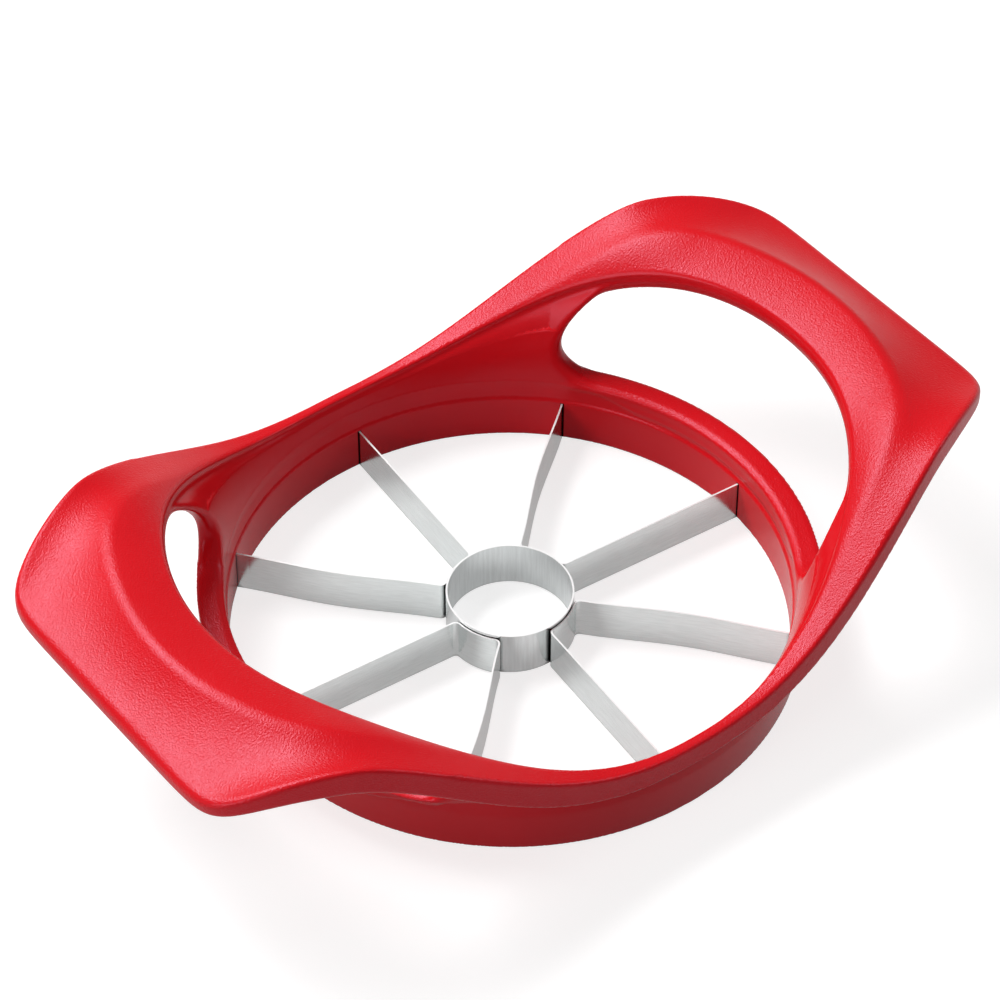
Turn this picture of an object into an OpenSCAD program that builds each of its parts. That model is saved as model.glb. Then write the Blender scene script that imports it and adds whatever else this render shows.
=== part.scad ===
// Hand-pressed apple slicer: a moulded frame with two raised handles, a steel
// core ring and four bent steel strips whose eight legs cut the wedges.
// Frame of reference: X runs from handle to handle, Y across, Z up, and the
// origin is on the axis of the bore, at the foot of the frame.

/* [Bore and foot ring] */
// Diameter of the round opening that the apple is pressed through
bore_d = 92; // [84:0.5:100]
// Wall of the foot ring at its lower rim
foot_wall = 1.8; // [1.6:0.1:3]
// Outward draft of the foot ring, foot to ledge
foot_draft = 0.7; // [0:0.1:1.2]
// Width of the small step in the bore, just above the blades
ledge_w = 0.3; // [0.2:0.05:0.6]

/* [Rims beside the bore] */
// Height of both side rims at the middle of the part
rim_h = 15.6; // [14.5:0.1:19]
// How far the bore widens up to the inner edge of a side rim
rim_flare = 1.5; // [1:0.1:2.5]
// Width of a side rim at the middle of the part
rim_w = 2; // [1.6:0.1:4]
// Thickness of the two side walls that rise to the handles
side_wall = 1.8; // [1.4:0.1:2.4]
// Thickness of the side walls where they end at the finger openings
jamb_wall = 3.5; // [2.4:0.1:4]

/* [Ends of the bore] */
// Height of the two low arches that close the bore under the handles
arch_h = 12.3; // [11:0.1:14]
// Width of the top of a low arch
arch_w = 4.4; // [3.4:0.1:5]
// Thickness of the overhanging lip of a low arch
arch_lip = 2.6; // [2:0.1:3]

/* [Handles] */
// Distance from the bore to the inner edge of a handle
finger_gap = 11.2; // [9:0.1:16]
// Width of a handle, from its inner edge to its end
handle_w = 19.9; // [17:0.1:26]
// Height of the inner edge of a handle
handle_in_h = 34.8; // [31:0.1:40]
// Height of the crest that runs round each handle
crest_h = 37.3; // [34:0.1:43]
// Distance from the inner edge of a handle to its crest
crest_in = 9.6; // [7:0.1:12]
// Length over which the palm face falls away to the end of the handle
shoulder_l = 18; // [14:0.5:22]
// Drop of the palm face from the crest to the end of the handle
palm_drop = 5.6; // [3:0.1:7]
// Hollow of the palm face
palm_dish = 0.7; // [0:0.1:1.2]
// Radius of the long curve of each flank, in plan
flank_r = 149; // [130:1:200]
// Radius of the handle corners, in plan
corner_r = 9; // [6:0.5:12]
// Angle from the long axis at which a finger opening ends
window_half_angle = 42.5; // [36:0.5:46]
// Reach of the rounded ends of a finger opening
window_round = 7.5; // [5:0.5:9]
// How late the flanks swoop up to the handles: 1 is even, more is later
swoop_ease = 1.35; // [1.1:0.05:1.6]

/* [Edge band and wall] */
// Height of the outer band at the middle of the side rims
band_side = 4.4; // [3.5:0.1:5]
// Height of the outer band half-way along a flank
band_flank = 5.5; // [4:0.1:7]
// Height of the outer band at the end of a handle
band_end = 2.7; // [2:0.1:4]
// Depth of the inner lip along the finger opening
lip_h = 3.3; // [2.8:0.1:4.5]
// Skin of the handles over their cored-out underside
skin = 2.4; // [2:0.1:3]
// Rounding of the outer top edge
edge_r = 1.3; // [0.8:0.1:1.8]

/* [Blades] */
// Height of the steel strips and of the core ring
blade_h = 7.7; // [6:0.1:8]
// Thickness of the strip steel
blade_t = 0.3; // [0.25:0.05:0.7]
// Gap between the blades and the board that the frame stands on
blade_lift = 0.1; // [0.1:0.05:0.5]
// Bow of every second leg at its middle
leg_bow = 0.8; // [0:0.1:1.5]
// Turn of the slots against the long axis
blade_turn = -3.6; // [-10:0.1:10]
// Turn of the bends at the core against the slots
web_turn = 2.6; // [-4:0.1:4]
// Inner radius of the bends at the core
bend_r = 0.8; // [0.5:0.1:1.5]
// Depth of the slots that hold the ends of the legs
slot_depth = 0.9; // [0.6:0.1:1]
// Play of a leg in its slot, on each side and at its end
slot_play = 0.1; // [0.05:0.01:0.15]

/* [Core ring] */
// Outer diameter of the core ring
core_d = 21; // [17:0.1:26]
// Height of the core ring
core_h = 8.3; // [6:0.1:8.8]
// Wall of the core ring
core_wall = 0.3; // [0.25:0.05:0.8]
// Gap between the core ring and the strips that are welded to it
weld_gap = 0.1; // [0.05:0.01:0.2]

/* [Hidden] */

strips = 4;
legs = 2*strips;
half_circle = 180;
quarter_circle = 90;
leg_angle = 2*half_circle/legs;

// ---- Foot ring ----
bore_r = bore_d/2;
foot_r = bore_r + foot_wall;
ledge_z = blade_lift + blade_h + 0.2;
ledge_out_r = foot_r + foot_draft;
root_r = bore_r + ledge_w;
knee_z = arch_h - 1.4;               // above it the inner wall leans out
knee_r = root_r + 0.3;
slot_roof = 0.1;                     // plastic between a slot and the ledge
cut_past = 1;                        // how far a cut runs past what it cuts

// ---- Plan of the handles, in polar form about the axis ----
in_a = bore_r + finger_gap;
in_b = bore_r + rim_flare;
in_n = 2.06;                         // a little fuller than an ellipse
half_l = in_a + handle_w;
half_w = in_b + rim_w;
shoulder_x = half_l - shoulder_l;
flank_c = flank_r - half_w;          // centre of a flank arc, beyond the axis
corner_n = 290/corner_r;
arch_r = knee_r + arch_w;

function plan_in(phi) =
    pow(pow(abs(cos(phi))/in_a, in_n) + pow(abs(sin(phi))/in_b, in_n), -1/in_n);
function ray_flank(phi) =
    let (s = abs(sin(phi)))
    sqrt(pow(flank_c*s, 2) + flank_r*flank_r - flank_c*flank_c) - flank_c*s;
function ray_end(phi) = half_l/max(abs(cos(phi)), 0.001);
function plan_out(phi) =
    let (a = ray_flank(phi), b = ray_end(phi), m = min(a, b))
    m*pow(pow(m/a, corner_n) + pow(m/b, corner_n), -1/corner_n);

// ---- Heights, over the distance x from the middle ----
function ease(t) = t*t*(3 - 2*t);
function swoop(t) = ease(pow(min(abs(t), 1), swoop_ease));
function past_shoulder(x) = max(0, min(1, (abs(x) - shoulder_x)/shoulder_l));
function ridge_height(x) = rim_h + (crest_h - rim_h)*swoop(x/shoulder_x);
function top_height(x) = ridge_height(x) - palm_drop*pow(past_shoulder(x), 2);
function band_height(x) =
    band_side + (band_flank - band_side)*pow(sin(half_circle*min(1, abs(x)/half_l)), 2)
    - (band_side - band_end)*pow(past_shoulder(x), 2);
function edge_height(phi) =
    rim_h + (handle_in_h - rim_h)*swoop(plan_in(phi)*cos(phi)/in_a);

// ---- Inner wall, from the knee to the inner top edge ----
// Near a finger opening it runs flush into the lip: fully at the first angle
// from the long axis, no more at the second
flush_from = 30;
flush_to = 40;
flush_h = 3;                         // height over which it turns to the lip
// The wall leans out more, higher up: a little at the middle, a lot at the ends
lean_power = 1.15;
lean_more = 1.6;
function between(t, a, b) = ease(max(0, min(1, (t - a)/(b - a))));
function wall_r(phi, z) =
    let (from_axis = min(phi, half_circle - phi),
         zl = edge_height(phi) - lip_h,
         s = max(0, (z - knee_z)/(edge_height(phi) - knee_z)),
         r = knee_r + (plan_in(phi) - knee_r)*pow(s, lean_power + lean_more*pow(cos(phi), 2)),
         at_lip = between(z, zl - flush_h, zl),
         at_opening = 1 - pow(between(from_axis, flush_from, flush_to), 2))
    r + (plan_in(phi) - r)*at_lip*at_opening;

// ---- Section of the handle band in the direction phi: [distance, height] ----
inner_edge_r = 0.5;
lip_draft = 0.5;
function on_handle(phi) = max(0, cos(2*phi));
function crest_r(phi) =
    let (a = plan_in(phi), b = plan_out(phi), k = on_handle(phi))
    a + crest_in*k + 0.3*(b - a)*(1 - k);
function along(p, q, t) = p + (q - p)*t;
function section(phi) =
    let (ri = plan_in(phi), zi = edge_height(phi),
         rc = crest_r(phi), zc = ridge_height(rc*cos(phi)),
         ro = plan_out(phi), zo = top_height(ro*cos(phi)),
         zb = zo - band_height(ro*cos(phi)),
         zl = zi - lip_h,
         lip = min(skin, 0.45*(ro - ri)),
         er = min(inner_edge_r, 0.3*(rc - ri)),
         rr = min(edge_r, 0.4*(ro - rc)),
         zr = zo - (zo - zc)*rr/(ro - rc),
         dish = palm_dish*on_handle(phi))
    [[ri, zi - er],
     [ri + 0.3*er, zi - 0.3*er],
     [ri + er, along(zi, zc, 0.1)],
     [along(ri, rc, 0.55), along(zi, zc, 0.68)],
     [along(ri, rc, 0.85), along(zi, zc, 0.94)],
     [rc, zc],
     for (t = [0.12, 0.3, 0.55, 0.8])
         [along(rc, ro - rr, t), along(zc, zr, t) - 4*dish*t*(1 - t)],
     for (a = [90, 60, 30, 0]) [ro - rr + rr*cos(a), zr - rr*(1 - sin(a))],
     [ro, zb],
     [ro - lip, zb],
     [ri + lip, zl],
     [ri + min(lip_draft, 0.5*lip), zl]];

// Plan angles of the sections: closer together round the handle corners
quarter = concat([for (a = [0:5:10]) a], [for (a = [13:2:31]) a], [for (a = [34:4:86]) a]);
half_turn = concat(quarter, [90], [for (i = [len(quarter) - 1:-1:1]) 180 - quarter[i]]);
full_turn = concat(half_turn, [for (a = half_turn) a + 180]);

// A point at the distance r in the direction phi and at the height z
function at(phi, r, z) = [r*cos(phi), r*sin(phi), z];
function quad(a, b, c, d) = [[a, c, b], [a, d, c]];

// Solid that runs through closed sections all with the same number of points
module loft(sections, closed) {
    n = len(sections);
    m = len(sections[0]);
    polyhedron(
        points = [for (s = sections) each s],
        faces = concat(
            [for (i = [0:n - (closed ? 1 : 2)], j = [0:m - 1])
                let (a = i*m, b = ((i + 1)%n)*m, k = (j + 1)%m)
                each quad(a + j, a + k, b + k, b + j)],
            closed ? [] : [[for (j = [0:m - 1]) j], [for (j = [m - 1:-1:0]) (n - 1)*m + j]]),
        convexity = 10);
}

module handle_band() {
    loft([for (phi = full_turn) [for (p = section(phi)) at(phi, p[0], p[1])]], true);
}

// Cored-out underside of the handle on the +X side
core_half = 50;
core_step = 4;                       // angle between two of its sections
core_depth = 3;
function core_section(phi) =
    let (ri = plan_in(phi), zi = edge_height(phi),
         rc = crest_r(phi), zc = ridge_height(rc*cos(phi)),
         ro = plan_out(phi), zo = top_height(ro*cos(phi)),
         low = min(zo - band_height(ro*cos(phi)), zi - lip_h) - core_depth,
         a = ri + skin, b = ro - skin,
         c = max(along(a, b, 0.2), min(along(a, b, 0.8), rc)))
    [[a, low], [a, zi - skin], [c, zc - 1.15*skin], [b, zo - 1.1*skin], [b, low]];

module handle_core() {
    loft([for (phi = [-core_half:core_step:core_half])
        [for (p = core_section(phi)) at(phi, p[0], p[1])]], false);
}

// ---- Side walls between the foot ring and the handles ----
window_span = window_round/plan_in(window_half_angle)*half_circle/PI;
window_start = window_half_angle - window_span;
window_top = edge_height(window_start) - lip_h;
window_mid = (window_top + arch_h)/2;
sheet_top = 0.5;                     // how far the walls stop below the edge
sheet_proud = 0.05;                  // how far they stand clear of the lip
sheet_root = 1.5;                    // how deep they are let into the foot ring
function sheet_top_z(phi) = edge_height(phi) - sheet_top;

// Ends of the openings: [angle at which the wall starts, height as a fraction]
window_rows = [for (a = [-90:15:90])
    [window_half_angle - window_span*(1 - cos(a)),
     (window_top - arch_h)*(1 + sin(a))/2/(sheet_top_z(window_start) - arch_h)]];
columns = 24;
function column_angle(start, i) = start + (half_circle - 2*start)*i/columns;
jamb_reach = 10;                     // how far the thick end of a wall goes back
function wall_t(start, phi) =
    let (back = (min(phi, half_circle - phi) - start)*PI/half_circle*bore_r)
    jamb_wall + (side_wall - jamb_wall)*between(back, 0, jamb_reach);

// One column of the wall as [angle, inner radius, outer radius, height] rows
function sheet_column(i) =
    let (p0 = column_angle(window_start, i))
    concat(
        [[p0, knee_r + 0.4, ledge_out_r - 0.3, knee_z - sheet_root],
         [p0, knee_r + sheet_proud, ledge_out_r - 0.1, knee_z]],
        [for (w = window_rows)
            let (p = column_angle(w[0], i), z = along(arch_h, sheet_top_z(p), w[1]),
                 r = wall_r(p, z) - sheet_proud)
            [p, r, r + wall_t(w[0], p), z]],
        [[p0, plan_in(p0) - sheet_proud,
          plan_in(p0) + min(side_wall, 0.4*(plan_out(p0) - plan_in(p0))),
          sheet_top_z(p0)]]);

module side_sheet() {
    grid = [for (i = [0:columns]) sheet_column(i)];
    m = len(grid[0]);
    n = columns + 1;
    function inner(i, j) = 2*(i*m + j);
    function outer(i, j) = 2*(i*m + j) + 1;
    polyhedron(
        points = [for (c = grid, q = c) each [at(q[0], q[1], q[3]), at(q[0], q[2], q[3])]],
        faces = concat(
            [for (i = [0:n - 2], j = [0:m - 2])
                each quad(inner(i, j), inner(i, j + 1), inner(i + 1, j + 1), inner(i + 1, j))],
            [for (i = [0:n - 2], j = [0:m - 2])
                each quad(outer(i, j), outer(i + 1, j), outer(i + 1, j + 1), outer(i, j + 1))],
            [for (i = [0:n - 2])
                each quad(inner(i, 0), inner(i + 1, 0), outer(i + 1, 0), outer(i, 0))],
            [for (i = [0:n - 2])
                each quad(inner(i, m - 1), outer(i, m - 1), outer(i + 1, m - 1),
                          inner(i + 1, m - 1))],
            [for (j = [0:m - 2])
                each quad(inner(0, j), outer(0, j), outer(0, j + 1), inner(0, j + 1))],
            [for (j = [0:m - 2])
                each quad(inner(n - 1, j), inner(n - 1, j + 1), outer(n - 1, j + 1),
                          outer(n - 1, j))]),
        convexity = 10);
}

// ---- Foot ring and arches ----
module foot_ring() {
    chamfer = 0.3;
    rotate_extrude($fn = 180)
        polygon([[bore_r, 0], [foot_r - chamfer, 0], [foot_r, chamfer],
                 [ledge_out_r, ledge_z], [ledge_out_r, knee_z], [knee_r, knee_z],
                 [root_r, ledge_z], [bore_r, ledge_z]]);
}

// Low arch that closes the bore under a handle, with its overhanging lip
module end_arch() {
    seam = 0.04;                     // keeps its inner face just clear of the ring's edge
    in_r = knee_r + seam;
    round_r = arch_h - knee_z;
    lip_z = arch_h - arch_lip;
    half = window_half_angle + 1;
    rotate([0, 0, -half])
        rotate_extrude(angle = 2*half, $fn = 180)
            polygon(concat(
                [[in_r, knee_z - 1], [ledge_out_r - 0.2, lip_z - 1.4],
                 [ledge_out_r + 0.1, lip_z - 0.7], [ledge_out_r + 0.7, lip_z],
                 [arch_r - 0.4, lip_z], [arch_r, lip_z + 0.4],
                 [arch_r, arch_h - 0.5], [arch_r - 0.5, arch_h]],
                [for (a = [90:15:180])
                    [in_r + round_r*(1 + cos(a)), knee_z + round_r*sin(a)]]));
}

module slots() {
    for (i = [0:legs - 1])
        rotate([0, 0, blade_turn + i*leg_angle])
            translate([bore_r - cut_past, -blade_t/2 - slot_play, -cut_past])
                cube([slot_depth + cut_past, blade_t + 2*slot_play,
                      ledge_z + cut_past - slot_roof]);
}

module body() {
    color("#e0202a")
    difference() {
        union() {
            foot_ring();
            for (s = [0, 180]) rotate([0, 0, s]) {
                end_arch();
                side_sheet();
            }
            difference() {
                handle_band();
                for (s = [0, 180]) rotate([0, 0, s]) handle_core();
            }
        }
        slots();
    }
}

// ---- Blades ----
web_mid = core_d/2 + weld_gap + blade_t/2;
bend_mid = bend_r + blade_t/2;
bend_far = web_mid + bend_mid;       // centre of a bend, from the axis
bend_angle = asin(bend_mid/bend_far);
leg_end = bore_r + slot_depth - slot_play;
bend_steps = 6;
web_steps = 12;
leg_steps = 12;

function polar(r, a) = r*[cos(a), sin(a)];
function arc(c, r, from, to, n) = [for (i = [0:n]) c + polar(r, along(from, to, i/n))];

// Heading of the line from p that touches the circle about c of radius r,
// with the circle on its right (side = 1) or on its left (side = -1)
function touch_heading(p, c, r, side) =
    (atan2(c[1] - p[1], c[0] - p[0]) + side*asin(r/norm(c - p)) + 360) % 360;
function touch_point(p, c, r, side) =
    p + polar(sqrt(pow(norm(c - p), 2) - r*r), touch_heading(p, c, r, side));

// Middle line of a strip: straight leg, bend, web, bend, bowed leg
function strip_line() =
    let (p1 = [leg_end, 0],
         p2 = polar(leg_end, leg_angle),
         a1 = web_turn + bend_angle,
         a2 = web_turn + leg_angle - bend_angle,
         c1 = polar(bend_far, a1),
         c2 = polar(bend_far, a2),
         t1 = touch_point(p1, c1, bend_mid, 1),
         t2 = touch_point(p2, c2, bend_mid, -1),
         h1 = touch_heading(p1, c1, bend_mid, 1),
         h2 = touch_heading(p2, c2, bend_mid, -1),
         out = polar(1, h2 - quarter_circle))
    concat([p1],
           arc(c1, bend_mid, h1 + quarter_circle, half_circle + a1, bend_steps),
           [for (i = [1:web_steps - 1]) polar(web_mid, along(a1, a2, i/web_steps))],
           arc(c2, bend_mid, half_circle + a2, h2 - quarter_circle, bend_steps),
           [for (t = [1/leg_steps:1/leg_steps:1.001])
               along(t2, p2, t) + leg_bow*pow(sin(half_circle*t), 2)*out]);

// Offset of a point of a line to one side, square to its neighbours
function beside(line, i, d) =
    let (q = line[min(i + 1, len(line) - 1)] - line[max(i - 1, 0)])
    line[i] + d*[-q[1], q[0]]/norm(q);

module blade_strip(i) {
    line = strip_line();
    n = len(line);
    color("#c8ccd0")
        rotate([0, 0, blade_turn + 2*i*leg_angle])
            translate([0, 0, blade_lift])
                linear_extrude(blade_h)
                    polygon(concat([for (k = [0:n - 1]) beside(line, k, blade_t/2)],
                                   [for (k = [n - 1:-1:0]) beside(line, k, -blade_t/2)]));
}

module core_ring() {
    color("#b8bcc0")
        translate([0, 0, blade_lift])
            difference() {
                cylinder(d = core_d, h = core_h, $fn = 120);
                translate([0, 0, -cut_past])
                    cylinder(d = core_d - 2*core_wall, h = core_h + 2*cut_past, $fn = 120);
            }
}

module blade_strip_1() { blade_strip(0); }
module blade_strip_2() { blade_strip(1); }
module blade_strip_3() { blade_strip(2); }
module blade_strip_4() { blade_strip(3); }

body();
core_ring();
blade_strip_1();
blade_strip_2();
blade_strip_3();
blade_strip_4();
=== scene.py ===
import math

import bpy
import numpy as np
from mathutils import Matrix, Vector


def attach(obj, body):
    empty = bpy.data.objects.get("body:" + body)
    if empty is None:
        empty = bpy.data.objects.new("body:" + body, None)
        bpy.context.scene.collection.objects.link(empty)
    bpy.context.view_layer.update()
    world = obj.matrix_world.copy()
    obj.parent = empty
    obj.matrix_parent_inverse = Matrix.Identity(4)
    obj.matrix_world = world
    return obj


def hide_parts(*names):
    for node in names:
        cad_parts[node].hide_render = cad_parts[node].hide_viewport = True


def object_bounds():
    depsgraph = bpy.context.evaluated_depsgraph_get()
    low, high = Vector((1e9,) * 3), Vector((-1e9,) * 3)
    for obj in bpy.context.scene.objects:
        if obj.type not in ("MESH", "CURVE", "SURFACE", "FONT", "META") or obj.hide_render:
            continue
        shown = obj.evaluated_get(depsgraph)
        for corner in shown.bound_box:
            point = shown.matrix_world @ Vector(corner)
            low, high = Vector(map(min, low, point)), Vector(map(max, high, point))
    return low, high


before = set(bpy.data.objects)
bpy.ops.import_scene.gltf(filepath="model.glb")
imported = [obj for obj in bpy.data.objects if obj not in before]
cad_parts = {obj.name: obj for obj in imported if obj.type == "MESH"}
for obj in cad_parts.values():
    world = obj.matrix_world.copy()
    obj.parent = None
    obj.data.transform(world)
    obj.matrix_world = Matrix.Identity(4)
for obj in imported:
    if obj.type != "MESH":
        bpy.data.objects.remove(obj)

cad_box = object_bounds()

MM = 0.001
TINY = 1e-9

# ---- Sizes of the frame in millimetres ----
# They are the solid's, but for four that were fitted to the photograph more closely:
# those have the solid's value beside them
BORE_R = 46.0
FOOT_R = 47.8
LEDGE_OUT_R = 48.5
LEDGE_W, LEDGE_RISE = 0.3, 0.6
LEDGE_Z = 8.0
LEDGE_START = LEDGE_Z - 0.05
ARCH_H = 12.3
KNEE_Z = ARCH_H - 1.4
KNEE_STEP = 0.3
KNEE_R = BORE_R + LEDGE_W + KNEE_STEP
ARCH_W = 4.2  # the solid's is 4.4
ARCH_R = KNEE_R + ARCH_W
ARCH_LIP = 2.6
RIM_H = 15.6
RIM_CREST = 0.3  # where the crest runs, as a share of a rim's width
SIDE_WALL = 1.9  # the solid's is 1.8
JAMB_WALL = 3.5
JAMB_REACH = 8.0  # the solid's is 10
LEAN_POWER, LEAN_MORE = 1.15, 1.6
IN_A, IN_B, IN_N = 57.2, 47.5, 2.06  # inner plan: half axes, and 2 for an ellipse
HALF_L, HALF_W = 77.1, 49.5
SHOULDER_L = 18.0
SHOULDER_X = HALF_L - SHOULDER_L
FLANK_R = 149.0
CORNER_R = 9.0
CORNER_N = 290.0 / CORNER_R
EDGE_H, CREST_H, CREST_IN = 34.8, 37.3, 9.6
PALM_DROP, PALM_DISH = 5.6, 0.7
SWOOP_EASE = 1.35
BAND_SIDE, BAND_END = 4.4, 2.7
BAND_FLANK = 6.1  # the solid's is 5.5
LIP_H, SKIN, LIP_DRAFT = 3.3, 2.4, 0.5
SLOPE_BOW = 0.5  # of the slope up to the crest: 0 is straight

# Finger openings and hollows of the handles: plan angles in degrees from the long axis
WINDOW_ANGLE, WINDOW_ROUND = 42.5, 7.5
WINDOW_LET_IN = 0.3  # how far an opening reaches up into the lip
WINDOW_LEAST = 0.5  # least half height, where an opening has run out
CAVITY_ANGLE = 50.0

# The inner wall turns flush with the lip over this height, and over these plan angles
FLUSH_H = 3.0
FLUSH_FROM, FLUSH_OVER = 30.0, 10.0

# The jambs start below the arch top. At the foot they are thicker than the solid's,
# which fades upwards
JAMB_START, JAMB_RISE = 1.5, 2.0
JAMB_FOOT, JAMB_FOOT_H = 0.9, 9.0

# The wall stops below the top faces; its lower and upper parts overlap at the arch top
WALL_DROP = 1.2
FOOT_STOP, UPPER_START = 0.4, 0.8

# The low arches run into the wall: their outer face goes in, the inner face goes back
# and the lip gets thinner
ARCH_END_R = LEDGE_OUT_R - 0.4
ARCH_FADE_FROM, ARCH_FADE_OVER = WINDOW_ANGLE - 4.0, 7.0
ARCH_END_IN = 0.9
LIP_THINNER, LIP_THIN_FROM, LIP_THIN_OVER = 1.8, 24.0, 12.0

# How softly faces meet, in millimetres. A pair is the blend on a side rim, or at the
# end of an arch, and what the handle, or the middle of the arch, adds to it
CREST_BLEND = (0.4, 0.5)
OUTER_EDGE_BLEND = (0.8, 0.7)
INNER_EDGE_BLEND = (0.5, 0.5)
UNDERSIDE_BLEND = 0.9
CAVITY_SIDE_BLEND, CAVITY_BLEND, CAVITY_MOUTH_BLEND = 1.5, 2.0, 0.8
WINDOW_BLEND = 1.8
WALL_EDGE_BLEND, WALL_TOP_BLEND, WALL_JOIN_BLEND = 0.3, 0.5, 0.2
ARCH_IN_BLEND, ARCH_OUT_BLEND, ARCH_LIP_BLEND = 1.4, 0.6, 0.4
ARCH_JOIN_BLEND = (0.25, 0.8)
BAND_JOIN_BLEND = 0.9
OUTLINE_BLEND = 0.05


# ---- Profiles that depend only on the plan angle, as tables over 0 to 90 degrees ----
def ease(t):
    return t * t * (3 - 2 * t)


def ramp(value, start, length):
    """0 up to the start, then an eased rise to 1 over the length."""
    return ease(np.clip((value - start) / length, 0, 1))


def swoop(t):
    return ease(np.minimum(np.abs(t), 1.0) ** SWOOP_EASE)


def past_shoulder(x):
    return np.clip((np.abs(x) - SHOULDER_X) / SHOULDER_L, 0, 1)


def ridge_height(x):
    return RIM_H + (CREST_H - RIM_H) * swoop(x / SHOULDER_X)


def top_height(x):
    return ridge_height(x) - PALM_DROP * past_shoulder(x) ** 2


def band_height(x):
    hump = np.sin(np.pi * np.minimum(1, np.abs(x) / HALF_L)) ** 2
    return (BAND_SIDE + (BAND_FLANK - BAND_SIDE) * hump
            - (BAND_SIDE - BAND_END) * past_shoulder(x) ** 2)


STEPS_PER_DEGREE = 20
angles = np.linspace(0, 90, 90 * STEPS_PER_DEGREE + 1)
cos_t = np.cos(np.radians(angles))
sin_t = np.sin(np.radians(angles))
plan_in_t = ((cos_t / IN_A) ** IN_N + (sin_t / IN_B) ** IN_N) ** (-1 / IN_N)
flank_c = FLANK_R - HALF_W
ray_flank = np.sqrt((flank_c * sin_t) ** 2 + FLANK_R ** 2 - flank_c ** 2) - flank_c * sin_t
ray_end = HALF_L / np.maximum(cos_t, 0.001)
ray_min = np.minimum(ray_flank, ray_end)
plan_out_t = ray_min * ((ray_min / ray_flank) ** CORNER_N
                        + (ray_min / ray_end) ** CORNER_N) ** (-1 / CORNER_N)
on_handle_t = np.maximum(0, np.cos(np.radians(2 * angles)))
crest_r_t = (plan_in_t + CREST_IN * on_handle_t
             + RIM_CREST * (plan_out_t - plan_in_t) * (1 - on_handle_t))
edge_z_t = RIM_H + (EDGE_H - RIM_H) * swoop(plan_in_t * cos_t / IN_A)
crest_z_t = ridge_height(crest_r_t * cos_t)
top_z_t = top_height(plan_out_t * cos_t)
low_z_t = top_z_t - band_height(plan_out_t * cos_t)
slant_t = np.gradient(plan_out_t, np.radians(angles)) / plan_out_t
slant_t = np.sqrt(1 + slant_t ** 2)


# ---- The frame as a field: signed measures in millimetres, negative in the plastic ----
def smax(a, b, k):
    """The larger of two measures, blended where they are within k of each other."""
    h = np.maximum(k - np.abs(a - b), 0) / k
    return np.maximum(a, b) + h * h * k / 4


def smin(a, b, k):
    return -smax(-a, -b, k)


def blend_at(pair, share):
    return pair[0] + pair[1] * share


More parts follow.
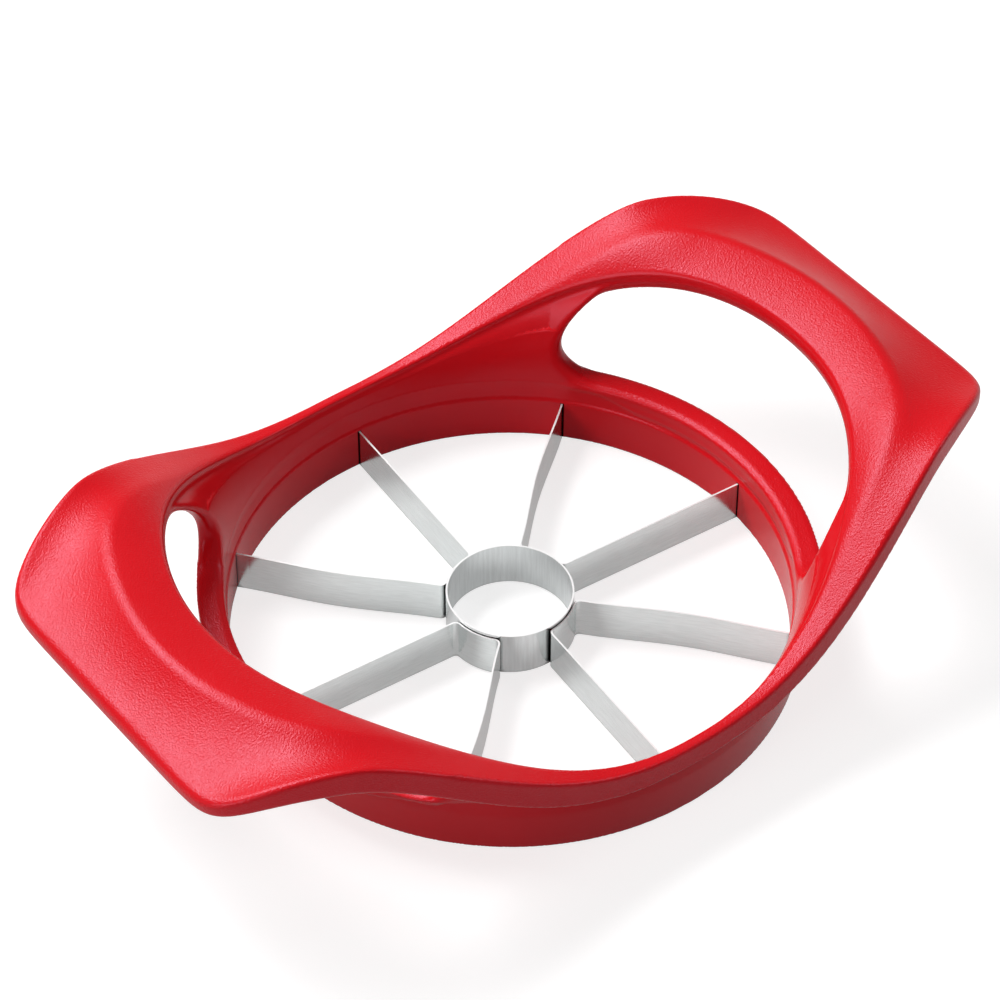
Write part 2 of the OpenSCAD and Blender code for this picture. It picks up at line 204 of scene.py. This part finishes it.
def frame_parts(x, y, z):
    """The band of handles and rims, the walls with the low arches, and the outline."""
    r = np.maximum(np.hypot(x, y), 1e-6)
    phi = np.degrees(np.arctan2(np.abs(y), np.abs(x)))
    ri, ro, rc, zi, zc, zt, zb, slant, handle = (
        np.interp(phi, angles, t) for t in
        (plan_in_t, plan_out_t, crest_r_t, edge_z_t, crest_z_t, top_z_t, low_z_t,
         slant_t, on_handle_t))
    zl = zi - LIP_H
    outside = (r - ro) / slant

    # top: inner slope up to the crest, then the dished palm face
    t = np.clip((r - ri) / (rc - ri), -1, 3)
    rise = np.where(t < 1, t + SLOPE_BOW * t * (1 - t), SLOPE_BOW + (1 - SLOPE_BOW) * t)
    u = np.clip((r - rc) / (ro - rc), -1, 1.3)
    palm = zc + (zt - zc) * u - 4 * PALM_DISH * handle * u * (1 - u)
    slope = (zt - zc - 4 * PALM_DISH * handle * (1 - 2 * u)) / (ro - rc)
    top = smax(z - zi - (zc - zi) * rise, (z - palm) / np.sqrt(1 + slope ** 2),
               blend_at(CREST_BLEND, handle))

    # band, with its lip along the opening and its cored-out underside
    band = smax(top, outside, blend_at(OUTER_EDGE_BLEND, handle))
    w = np.clip((r - ri) / (ro - ri), 0, 1)
    band = smax(band, zl + (zb - zl) * w - z, UNDERSIDE_BLEND)
    band = smax(band, ri + LIP_DRAFT * np.clip((zi - z) / LIP_H, 0, 1) - r,
                blend_at(INNER_EDGE_BLEND, handle))
    cavity = smax(ri + SKIN - r, outside + SKIN, CAVITY_SIDE_BLEND)
    cavity = smax(cavity, top + SKIN, CAVITY_BLEND)
    cavity = smax(cavity, np.radians(phi - CAVITY_ANGLE) * r, CAVITY_BLEND)
    band = smax(band, -cavity, CAVITY_MOUTH_BLEND)

    # finger opening through the wall, with rounded ends
    window_top = zl + WINDOW_LET_IN
    mid = (window_top + ARCH_H) / 2
    half = np.maximum((window_top - ARCH_H) / 2, WINDOW_LEAST)
    q = np.maximum(np.radians(phi - WINDOW_ANGLE) * r + WINDOW_ROUND, 0) / WINDOW_ROUND
    window = (np.hypot(q, (z - mid) / half) - 1) * np.minimum(WINDOW_ROUND, half)

    # wall from the foot up to the inner top edge, thick where it ends
    up = np.clip((z - KNEE_Z) / (zi - KNEE_Z), 0, 1.2)
    lean = (ri - KNEE_R) * up ** (LEAN_POWER + LEAN_MORE * np.cos(np.radians(phi)) ** 2)
    step = BORE_R + LEDGE_W * ramp(z, LEDGE_START, LEDGE_RISE)
    step = step + KNEE_STEP * ramp(z, LEDGE_Z, KNEE_Z - LEDGE_Z)
    at_lip = ramp(z, zl - FLUSH_H, FLUSH_H) * (1 - ramp(phi, FLUSH_FROM, FLUSH_OVER) ** 2)
    wall_in = step + lean
    wall_in = wall_in + (ri - wall_in) * at_lip
    jamb = JAMB_WALL - SIDE_WALL + JAMB_FOOT * (1 - ramp(z, ARCH_H, JAMB_FOOT_H))
    jamb = jamb * (1 - ramp(window, 0, JAMB_REACH))
    foot_out = FOOT_R + (LEDGE_OUT_R - FOOT_R) * np.clip(z / LEDGE_Z, 0, 1)
    wall_out = np.where(z < KNEE_Z, foot_out, KNEE_R + SIDE_WALL + lean)
    wall_out = wall_out + jamb * ramp(z, ARCH_H - JAMB_START, JAMB_RISE)
    wall = smax(wall_in - r, r - wall_out, WALL_EDGE_BLEND)
    wall = smax(wall, top + WALL_DROP, WALL_TOP_BLEND)
    upper = smax(wall, ARCH_H - UPPER_START - z, WALL_EDGE_BLEND)
    upper = smax(upper, -window, WINDOW_BLEND)
    foot = smax(wall, z - ARCH_H + FOOT_STOP, WALL_EDGE_BLEND)
    foot = smax(foot, -z, WALL_EDGE_BLEND)

    # low arch with its overhanging lip, which runs into the ends of the walls
    free = 1 - ramp(phi, ARCH_FADE_FROM, ARCH_FADE_OVER)
    arch_out = ARCH_END_R + (ARCH_R - ARCH_END_R) * free
    arch = smax(step + ARCH_END_IN * (1 - free) - r, z - ARCH_H, ARCH_IN_BLEND)
    arch = smax(arch, r - arch_out, ARCH_OUT_BLEND)
    lip_z = ARCH_H - ARCH_LIP + LIP_THINNER * ramp(phi, LIP_THIN_FROM, LIP_THIN_OVER)
    arch = smax(arch, lip_z - z, ARCH_LIP_BLEND)

    walls = smin(foot, upper, WALL_JOIN_BLEND)
    walls = smin(walls, arch, blend_at(ARCH_JOIN_BLEND, free))
    return band, walls, outside


def frame_field(x, y, z):
    band, walls, outside = frame_parts(x, y, z)
    return smax(smin(band, walls, BAND_JOIN_BLEND), outside, OUTLINE_BLEND)


# ---- The field's zero surface as a mesh of quads ----
CELL = 0.4
NET_LOW_Z = -0.6
NET_HIGH = (78.0, 50.4, 38.4)
SLOPE_STEP = 0.02
SETTLE_ROUNDS, SETTLE_REACH, LEAST_SLOPE = 3, 0.3, 0.05


def surface_net(field, low_z, high, cell):
    """Quads on the zero surface of a field that is even in x and in y."""
    nx, ny = (int(math.ceil(h / cell)) for h in high[:2])
    xs = (np.arange(nx + 1) + 0.5) * cell
    ys = (np.arange(ny + 1) + 0.5) * cell
    zs = np.arange(low_z, high[2] + cell, cell)
    quarter = np.empty((len(xs), len(ys), len(zs)), np.float32)
    yy, zz = np.meshgrid(ys, zs, indexing="ij")
    for i, x in enumerate(xs):
        quarter[i] = field(np.full_like(yy, x), yy, zz)
    f = np.concatenate([quarter[::-1], quarter], 0)
    f = np.concatenate([f[:, ::-1], f], 1)
    inside = f < 0

    # one point in each cell that the surface crosses: the mean of its edge crossings
    corner = [(i, j, k) for i in (0, 1) for j in (0, 1) for k in (0, 1)]
    shape = tuple(n - 1 for n in f.shape)
    part = [inside[i:i + shape[0], j:j + shape[1], k:k + shape[2]] for i, j, k in corner]
    count = sum(p.astype(np.int8) for p in part)
    cells = np.argwhere((count > 0) & (count < len(corner)))
    total = np.zeros((len(cells), 3))
    hits = np.zeros(len(cells))
    for a in corner:
        for axis in range(3):
            if a[axis]:
                continue
            b = tuple(c + (n == axis) for n, c in enumerate(a))
            fa = f[tuple((cells + a).T)]
            fb = f[tuple((cells + b).T)]
            cut = (fa < 0) != (fb < 0)
            t = np.where(cut, fa / np.where(cut, fa - fb, 1), 0)
            p = cells + np.array(a, float)
            p[:, axis] += t
            total += p * cut[:, None]
            hits += cut
    verts = np.array([-xs[-1], -ys[-1], zs[0]]) + total / hits[:, None] * cell

    # one quad round each grid edge that the surface crosses
    index = np.full(shape, -1, np.int32)
    index[tuple(cells.T)] = np.arange(len(cells))
    quads = []
    for axis in range(3):
        o1, o2 = (axis + 1) % 3, (axis + 2) % 3
        low_end = [slice(0, n - 1) if d == axis else slice(1, n - 1)
                   for d, n in enumerate(f.shape)]
        high_end = [slice(1, n) if d == axis else slice(1, n - 1)
                    for d, n in enumerate(f.shape)]
        ins_a, ins_b = inside[tuple(low_end)], inside[tuple(high_end)]
        edge = np.argwhere(ins_a != ins_b)
        flip = ins_b[tuple(edge.T)]
        base = edge + 1
        base[:, axis] -= 1
        ring = []
        for d1, d2 in ((1, 1), (0, 1), (0, 0), (1, 0)):
            c = base.copy()
            c[:, o1] -= d1
            c[:, o2] -= d2
            ring.append(index[tuple(c.T)])
        ring = np.stack(ring, 1)
        ring[flip] = ring[flip][:, ::-1]
        quads.append(ring)
    return verts, np.concatenate(quads)


def gradient(field, v):
    x, y, z = v.T
    e = SLOPE_STEP
    return np.stack([field(x + e, y, z) - field(x - e, y, z),
                     field(x, y + e, z) - field(x, y - e, z),
                     field(x, y, z + e) - field(x, y, z - e)], 1) / (2 * e)


def settle(verts, field):
    """Moves points along the slope of the field onto its zero surface."""
    v = verts.copy()
    for _ in range(SETTLE_ROUNDS):
        g = gradient(field, v)
        n2 = np.maximum((g * g).sum(1), LEAST_SLOPE)
        step = g * (field(*v.T) / n2)[:, None]
        size = np.linalg.norm(step, axis=1)
        v -= step * np.minimum(1, SETTLE_REACH / np.maximum(size, TINY))[:, None]
    return v


def mesh_object(name, verts, quads, normals):
    mesh = bpy.data.meshes.new(name)
    mesh.vertices.add(len(verts))
    mesh.vertices.foreach_set("co", (verts * MM).astype(np.float32).ravel())
    mesh.loops.add(quads.size)
    mesh.loops.foreach_set("vertex_index", quads.astype(np.int32).ravel())
    mesh.polygons.add(len(quads))
    mesh.polygons.foreach_set("loop_start", np.arange(0, quads.size, 4, dtype=np.int32))
    mesh.update(calc_edges=True)
    mesh.shade_smooth()
    mesh.normals_split_custom_set_from_vertices(normals)
    obj = bpy.data.objects.new(name, mesh)
    bpy.context.scene.collection.objects.link(obj)
    return obj


verts, quads = surface_net(frame_field, NET_LOW_Z, NET_HIGH, CELL)
verts = settle(verts, frame_field)
normals = gradient(frame_field, verts)
normals /= np.maximum(np.linalg.norm(normals, axis=1), TINY)[:, None]
shell = mesh_object("red_frame", verts, quads, normals)

# The handles, rims and arch tops are grained in the mould, the walls are smooth.
# Each pair is where the grain starts to change, and over which length, in millimetres
# or degrees
GRAIN_BAND = (0.25, 0.2)
GRAIN_INNER_EDGE = (0.3, 0.5)
GRAIN_ARCH_TOP = (ARCH_H - 0.35, 0.3)
GRAIN_ARCH_OUT = (KNEE_R + 4.9, 0.6)
GRAIN_ARCH_END = (WINDOW_ANGLE - 6.0, 4.0)
vx, vy, vz = verts.T
vr = np.hypot(vx, vy)
vphi = np.degrees(np.arctan2(np.abs(vy), np.abs(vx)))
off_band = np.abs(frame_parts(vx, vy, vz)[0])
past_edge = vr - np.interp(vphi, angles, plan_in_t)
on_band = (1 - ramp(off_band, *GRAIN_BAND)) * ramp(past_edge, *GRAIN_INNER_EDGE)
on_arch = (ramp(vz, *GRAIN_ARCH_TOP) * (1 - ramp(vr, *GRAIN_ARCH_OUT))
           * (1 - ramp(vphi, *GRAIN_ARCH_END)))
grained = shell.data.attributes.new("grained", "FLOAT", "POINT")
grained.data.foreach_set("value", np.maximum(on_band, on_arch).astype(np.float32))


# ---- Materials: helpers ----
def node_tree(name):
    mat = bpy.data.materials.new(name)
    mat.use_nodes = True
    mat.node_tree.nodes.clear()
    return mat, mat.node_tree


def feed(tree, socket, value):
    """Links a node's output to a socket, or sets the socket to a constant."""
    if isinstance(value, bpy.types.NodeSocket):
        tree.links.new(value, socket)
    else:
        socket.default_value = value


def add(tree, kind, inputs, **settings):
    """A node with its settings, and with its inputs given by name or by number."""
    node = tree.nodes.new("ShaderNode" + kind)
    for key, value in settings.items():
        setattr(node, key, value)
    for key, value in inputs.items():
        feed(tree, node.inputs[key], value)
    return node


def coordinates(tree, kind):
    return add(tree, "TexCoord", {}).outputs[kind]


def texture_space(tree, scale):
    """Object coordinates stretched by a scale per metre along each axis."""
    mapping = add(tree, "Mapping", {"Vector": coordinates(tree, "Object"), "Scale": scale})
    return mapping.outputs["Vector"]


def along_axes(tree, vector):
    split = add(tree, "SeparateXYZ", {"Vector": vector})
    return [split.outputs[axis] for axis in "XYZ"]


def noise(tree, space, scale, detail):
    node = add(tree, "TexNoise", {"Vector": space, "Scale": scale, "Detail": detail})
    return node.outputs["Fac"]


def spread(tree, value, low, high, start=0.3, end=0.7):
    """Maps a value from start to end onto low to high. A noise mostly lies in 0.3 to 0.7."""
    node = add(tree, "MapRange", {"Value": value, "From Min": start, "From Max": end,
                                  "To Min": low, "To Max": high})
    return node.outputs["Result"]


def tint(tree, factor, color_a, color_b):
    """Colour a where the factor is 0 and colour b where it is 1."""
    node = add(tree, "Mix", {}, data_type="RGBA")
    colors = [socket for socket in node.inputs if socket.type == "RGBA"]
    for socket, color in zip(colors, (color_a, color_b)):
        feed(tree, socket, color)
    feed(tree, node.inputs["Factor"], factor)
    return [socket for socket in node.outputs if socket.type == "RGBA"][0]


def arithmetic(tree, operation, a, b):
    return add(tree, "Math", {0: a, 1: b}, operation=operation).outputs["Value"]


def plus(tree, a, b):
    return arithmetic(tree, "ADD", a, b)


def times(tree, a, b):
    return arithmetic(tree, "MULTIPLY", a, b)


def bump(tree, height, strength, distance):
    node = add(tree, "Bump", {"Height": height, "Strength": strength, "Distance": distance})
    return node.outputs["Normal"]


def finished(mat, tree, shader, kind="OutputMaterial"):
    add(tree, kind, {"Surface": shader})
    return mat


# ---- Red plastic ----
# Painted shade in the gaps at the leg ends, where the slots are, which the mesh leaves
# closed.
# Each pair is where the painted shade is still full and where it has ended: half its
# width as an angle in radians, its height and its outer radius
LEGS = 8
SLOT_TURN = math.radians(3.6)
SLOT_HALF = (0.30 / BORE_R, 0.42 / BORE_R)
SLOT_TOP = (7.85 * MM, 8.0 * MM)
SLOT_OUT_R = (46.4 * MM, 46.6 * MM)
SLOT_SHADE_COLOR = (0.015, 0.0, 0.0, 1)

# Colours run from the first to the second with a slow noise
RED_TONES = ((0.66, 0.0050, 0.0095, 1), (0.71, 0.0065, 0.0120, 1))
PLASTIC_IOR, PLASTIC_TINT = 1.5, (1.0, 0.75, 1.0, 1.0)
SMOOTH_GLOSS, GRAIN_GLOSS = 0.22, 0.29
PLASTIC_ROUGH, GRAIN_ROUGHER = (0.21, 0.26), 0.08
# Scales are per metre
PEBBLE_SCALE, FOLD_SCALE, RIPPLE_SCALE = 3700.0, 3200.0, 160.0
CLOUD_SCALE, ROUGH_SCALE = 45.0, 300.0
RIPPLE_SHARE = 0.1
GRAIN_DEPTH = 0.045 * MM


def painted_slot_shade(tree):
    """1 on the painted shade at the eight leg ends, where the slots are, 0 on the rest of
    the plastic.
    """
    x, y, z = along_axes(tree, coordinates(tree, "Object"))
    turn = plus(tree, arithmetic(tree, "ARCTAN2", y, x), SLOT_TURN)
    off = arithmetic(tree, "PINGPONG", turn, math.pi / LEGS)
    squares = plus(tree, times(tree, x, x), times(tree, y, y))
    radius = arithmetic(tree, "SQRT", squares, 0.0)
    near, low, inner = (
        spread(tree, value, 1.0, 0.0, *span) for value, span in
        ((off, SLOT_HALF), (z, SLOT_TOP), (radius, SLOT_OUT_R)))
    return times(tree, times(tree, near, low), inner)


def red_plastic():
    """Moulded red plastic: leather grain where the mesh says so, gloss elsewhere."""
    mat, tree = node_tree("red_plastic")
    space = texture_space(tree, (1.0, 1.0, 1.0))
    grained = add(tree, "Attribute", {}, attribute_name="grained").outputs["Fac"]
    # painted shade in the gaps of the slots: a near-black colour with the gloss taken off
    slot_shade = painted_slot_shade(tree)

    pebbles = add(tree, "TexVoronoi", {"Vector": space, "Scale": PEBBLE_SCALE},
                  feature="SMOOTH_F1").outputs["Distance"]
    grain = plus(tree, pebbles, noise(tree, space, FOLD_SCALE, 2.0))
    ripple = noise(tree, space, RIPPLE_SCALE, 1.0)
    height = plus(tree, times(tree, grain, grained), times(tree, ripple, RIPPLE_SHARE))

    cloud = spread(tree, noise(tree, space, CLOUD_SCALE, 2.0), 0.0, 1.0)
    # the painted shade at the leg ends goes over the red tones
    color = tint(tree, slot_shade, tint(tree, cloud, *RED_TONES), SLOT_SHADE_COLOR)
    gloss = arithmetic(tree, "SUBTRACT",
                       spread(tree, grained, SMOOTH_GLOSS, GRAIN_GLOSS, 0.0, 1.0),
                       times(tree, slot_shade, SMOOTH_GLOSS))
    rough = plus(tree, spread(tree, noise(tree, space, ROUGH_SCALE, 2.0), *PLASTIC_ROUGH),
                  times(tree, grained, GRAIN_ROUGHER))
    bsdf = add(tree, "BsdfPrincipled", {
        "Base Color": color, "Roughness": rough, "IOR": PLASTIC_IOR,
        "Specular IOR Level": gloss, "Specular Tint": PLASTIC_TINT,
        "Normal": bump(tree, height, 1.0, GRAIN_DEPTH)})
    return finished(mat, tree, bsdf.outputs["BSDF"])


# ---- Steel ----
# Streaks are long where the scale per metre is small: they run along the strips, which
# stand on edge, and up the core ring
STRIP_STREAKS = (350.0, 350.0, 3500.0)
STRIP_TONES = ((0.80, 0.84, 0.835, 1), (0.88, 0.92, 0.915, 1))
CORE_STREAKS = (2600.0, 2600.0, 180.0)
CORE_TONES = ((0.74, 0.765, 0.765, 1), (0.84, 0.87, 0.87, 1))
STREAK_SHARE, STEEL_CLOUD_SHARE, STEEL_CLOUD_SCALE = 0.85, 0.15, 260.0
STREAK_STRENGTH, STREAK_DEPTH = 0.25, 0.02 * MM
STEEL_ROUGH = (0.22, 0.14)
# Painted highlight: the faces that look up, the sheared top edges, are painted near white
HIGHLIGHT_TILT = (0.75, 0.9)
EDGE_HIGHLIGHT_COLOR, EDGE_METAL, EDGE_ROUGHER = (0.93, 0.94, 0.94, 1), 0.25, 0.25
# Painted shade: ambient occlusion within this reach darkens creases and the strip ends at
# the wall
CREVICE_SHADE_REACH, CREVICE_SHADE_OPEN = 1.2 * MM, (0.2, 0.75)
CREVICE_SHADE_COLOR = (0.05, 0.05, 0.05, 1)


def steel(name, streaks, tones):
    """Brushed stainless, painted highlight on faces that look up, painted shade in creases.
    """
    mat, tree = node_tree(name)
    facing_up = along_axes(tree, coordinates(tree, "Normal"))[2]
    # painted highlight: 1 on the faces that look up
    edge = spread(tree, facing_up, 0.0, 1.0, *HIGHLIGHT_TILT)
    lines = noise(tree, texture_space(tree, streaks), 1.0, 3.0)
    cloud = noise(tree, texture_space(tree, (STEEL_CLOUD_SCALE,) * 3), 1.0, 2.0)
    mixed = plus(tree, times(tree, lines, STREAK_SHARE),
                  times(tree, cloud, STEEL_CLOUD_SHARE))
    # painted shade in creases, from ambient occlusion
    crevice_shade = add(tree, "AmbientOcclusion", {"Distance": CREVICE_SHADE_REACH}, samples=8)

    color = tint(tree, spread(tree, mixed, 0.0, 1.0), *tones)
    # paint the highlight on the faces that look up
    color = tint(tree, edge, color, EDGE_HIGHLIGHT_COLOR)
    # paint the shade where the ambient occlusion is low
    color = tint(tree, spread(tree, crevice_shade.outputs["AO"], 1.0, 0.0, *CREVICE_SHADE_OPEN), color,
                 CREVICE_SHADE_COLOR)
    rough = plus(tree, spread(tree, mixed, *STEEL_ROUGH), times(tree, edge, EDGE_ROUGHER))
    bsdf = add(tree, "BsdfPrincipled", {
        "Base Color": color, "Roughness": rough,
        "Metallic": spread(tree, edge, 1.0, EDGE_METAL, 0.0, 1.0),
        "Normal": bump(tree, lines, STREAK_STRENGTH, STREAK_DEPTH)})
    return finished(mat, tree, bsdf.outputs["BSDF"])


shell.data.materials.append(red_plastic())
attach(shell, "root")
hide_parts("body")

strip_steel = steel("strip_steel", STRIP_STREAKS, STRIP_TONES)
core_steel = steel("core_steel", CORE_STREAKS, CORE_TONES)
for name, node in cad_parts.items():
    if name != "body":
        node.data.materials.clear()
        node.data.materials.append(core_steel if name == "core_ring" else strip_steel)

# ---- Camera of the photograph: angles in radians, distances in metres ----
AZ, EL, ROLL = -0.652812, 0.775676, 0.002039
DIST, SHIFT_X, SHIFT_Y = 0.644043, -0.001618, 0.020711
LENS_MM, SENSOR_MM = 140.94, 36.0
back = Vector((math.sin(AZ) * math.cos(EL), -math.cos(AZ) * math.cos(EL), math.sin(EL)))
right = (-back).cross(Vector((0, 0, 1))).normalized()
up = right.cross(-back)
rolled_right = math.cos(ROLL) * right + math.sin(ROLL) * up
rolled_up = -math.sin(ROLL) * right + math.cos(ROLL) * up
place = back * DIST + rolled_right * SHIFT_X + rolled_up * SHIFT_Y
turned = Matrix((rolled_right, rolled_up, back)).transposed().to_4x4()
cam_data = bpy.data.cameras.new("camera")
cam_data.sensor_fit = "HORIZONTAL"
cam_data.sensor_width = SENSOR_MM
cam_data.lens = LENS_MM
cam_data.clip_start = 0.01
cam = bpy.data.objects.new("camera", cam_data)
cam.matrix_world = Matrix.Translation(place) @ turned
bpy.context.scene.collection.objects.link(cam)
bpy.context.scene.camera = cam

# ---- Floor ----
FLOOR_HALF, FLOOR_GAP = 3.0, 0.1 * MM
FLOOR_COLOR = (0.40, 0.40, 0.40, 1)
# The glow for the view grows over this distance from the middle, in metres
GLOW_NEAR, GLOW_FAR, GLOW_SPAN = 0.75, 1.0, (0.2, 0.7)
GLOW_MIRRORED = 0.36


def floor_material():
    """Pale matt floor, lifted to white for the view and, less, in mirror images."""
    mat, tree = node_tree("floor")
    path = add(tree, "LightPath", {})
    far = add(tree, "VectorMath", {0: coordinates(tree, "Object")}, operation="LENGTH")
    seen = times(tree, path.outputs["Is Camera Ray"],
                   spread(tree, far.outputs["Value"], GLOW_NEAR, GLOW_FAR, *GLOW_SPAN))
    mirrored = times(tree, path.outputs["Is Glossy Ray"], GLOW_MIRRORED)
    diffuse = add(tree, "BsdfDiffuse", {"Color": FLOOR_COLOR})
    glow = add(tree, "Emission", {"Strength": plus(tree, seen, mirrored)})
    both = add(tree, "AddShader", {0: diffuse.outputs["BSDF"], 1: glow.outputs["Emission"]})

    # seen from below, the floor is left out
    from_below = times(tree, add(tree, "NewGeometry", {}).outputs["Backfacing"],
                         path.outputs["Is Camera Ray"])
    clear = add(tree, "BsdfTransparent", {})
    either = add(tree, "MixShader", {0: from_below, 1: both.outputs["Shader"],
                                     2: clear.outputs["BSDF"]})
    return finished(mat, tree, either.outputs["Shader"])


floor_mesh = bpy.data.meshes.new("floor")
floor_mesh.from_pydata([(-FLOOR_HALF, -FLOOR_HALF, 0), (FLOOR_HALF, -FLOOR_HALF, 0),
                        (FLOOR_HALF, FLOOR_HALF, 0), (-FLOOR_HALF, FLOOR_HALF, 0)],
                       [], [(0, 1, 2, 3)])
floor = bpy.data.objects.new("floor", floor_mesh)
floor.location.z = cad_box[0][2] - FLOOR_GAP
floor_mesh.materials.append(floor_material())
bpy.context.scene.collection.objects.link(floor)

# ---- Surroundings: white to the view, dim to the part ----
WHITE = (1, 1, 1, 1)
SKY_SEEN, SKY_LIGHT = 1.0, 0.19
world = bpy.data.worlds.new("studio")
bpy.context.scene.world = world
world.use_nodes = True
sky = world.node_tree
sky.nodes.clear()
dim, bright = (
    add(sky, "Background", {"Color": WHITE, "Strength": strength}).outputs["Background"]
    for strength in (SKY_LIGHT, SKY_SEEN))
to_view = add(sky, "LightPath", {}).outputs["Is Camera Ray"]
shown = add(sky, "MixShader", {0: to_view, 1: dim, 2: bright}).outputs["Shader"]
finished(world, sky, shown, "OutputWorld")

# ---- Lamps, aimed at the middle of the part: name, place and size in metres, watts ----
LAMP_AIM = Vector((0, 0, 0.02))
LAMPS = (
    ("top_light", (-0.16, 0.56, 0.8), (0.75, 0.35), 8.8),
    ("spot_light", (-0.21, 0.45, 0.87), (0.16, 0.16), 0.9),
    ("right_light", (0.75, -0.25, 0.55), (0.4, 0.4), 1.5),
    ("left_light", (-0.8, -0.1, 0.4), (0.4, 0.4), 2.0))
for lamp_name, lamp_place, lamp_size, power in LAMPS:
    data = bpy.data.lights.new(lamp_name, "AREA")
    data.shape = "RECTANGLE"
    data.size, data.size_y = lamp_size
    data.energy = power
    lamp = bpy.data.objects.new(lamp_name, data)
    lamp.location = lamp_place
    aim = LAMP_AIM - Vector(lamp_place)
    lamp.rotation_euler = aim.to_track_quat("-Z", "Y").to_euler()
    bpy.context.scene.collection.objects.link(lamp)

bpy.context.scene.view_settings.view_transform = "Standard"
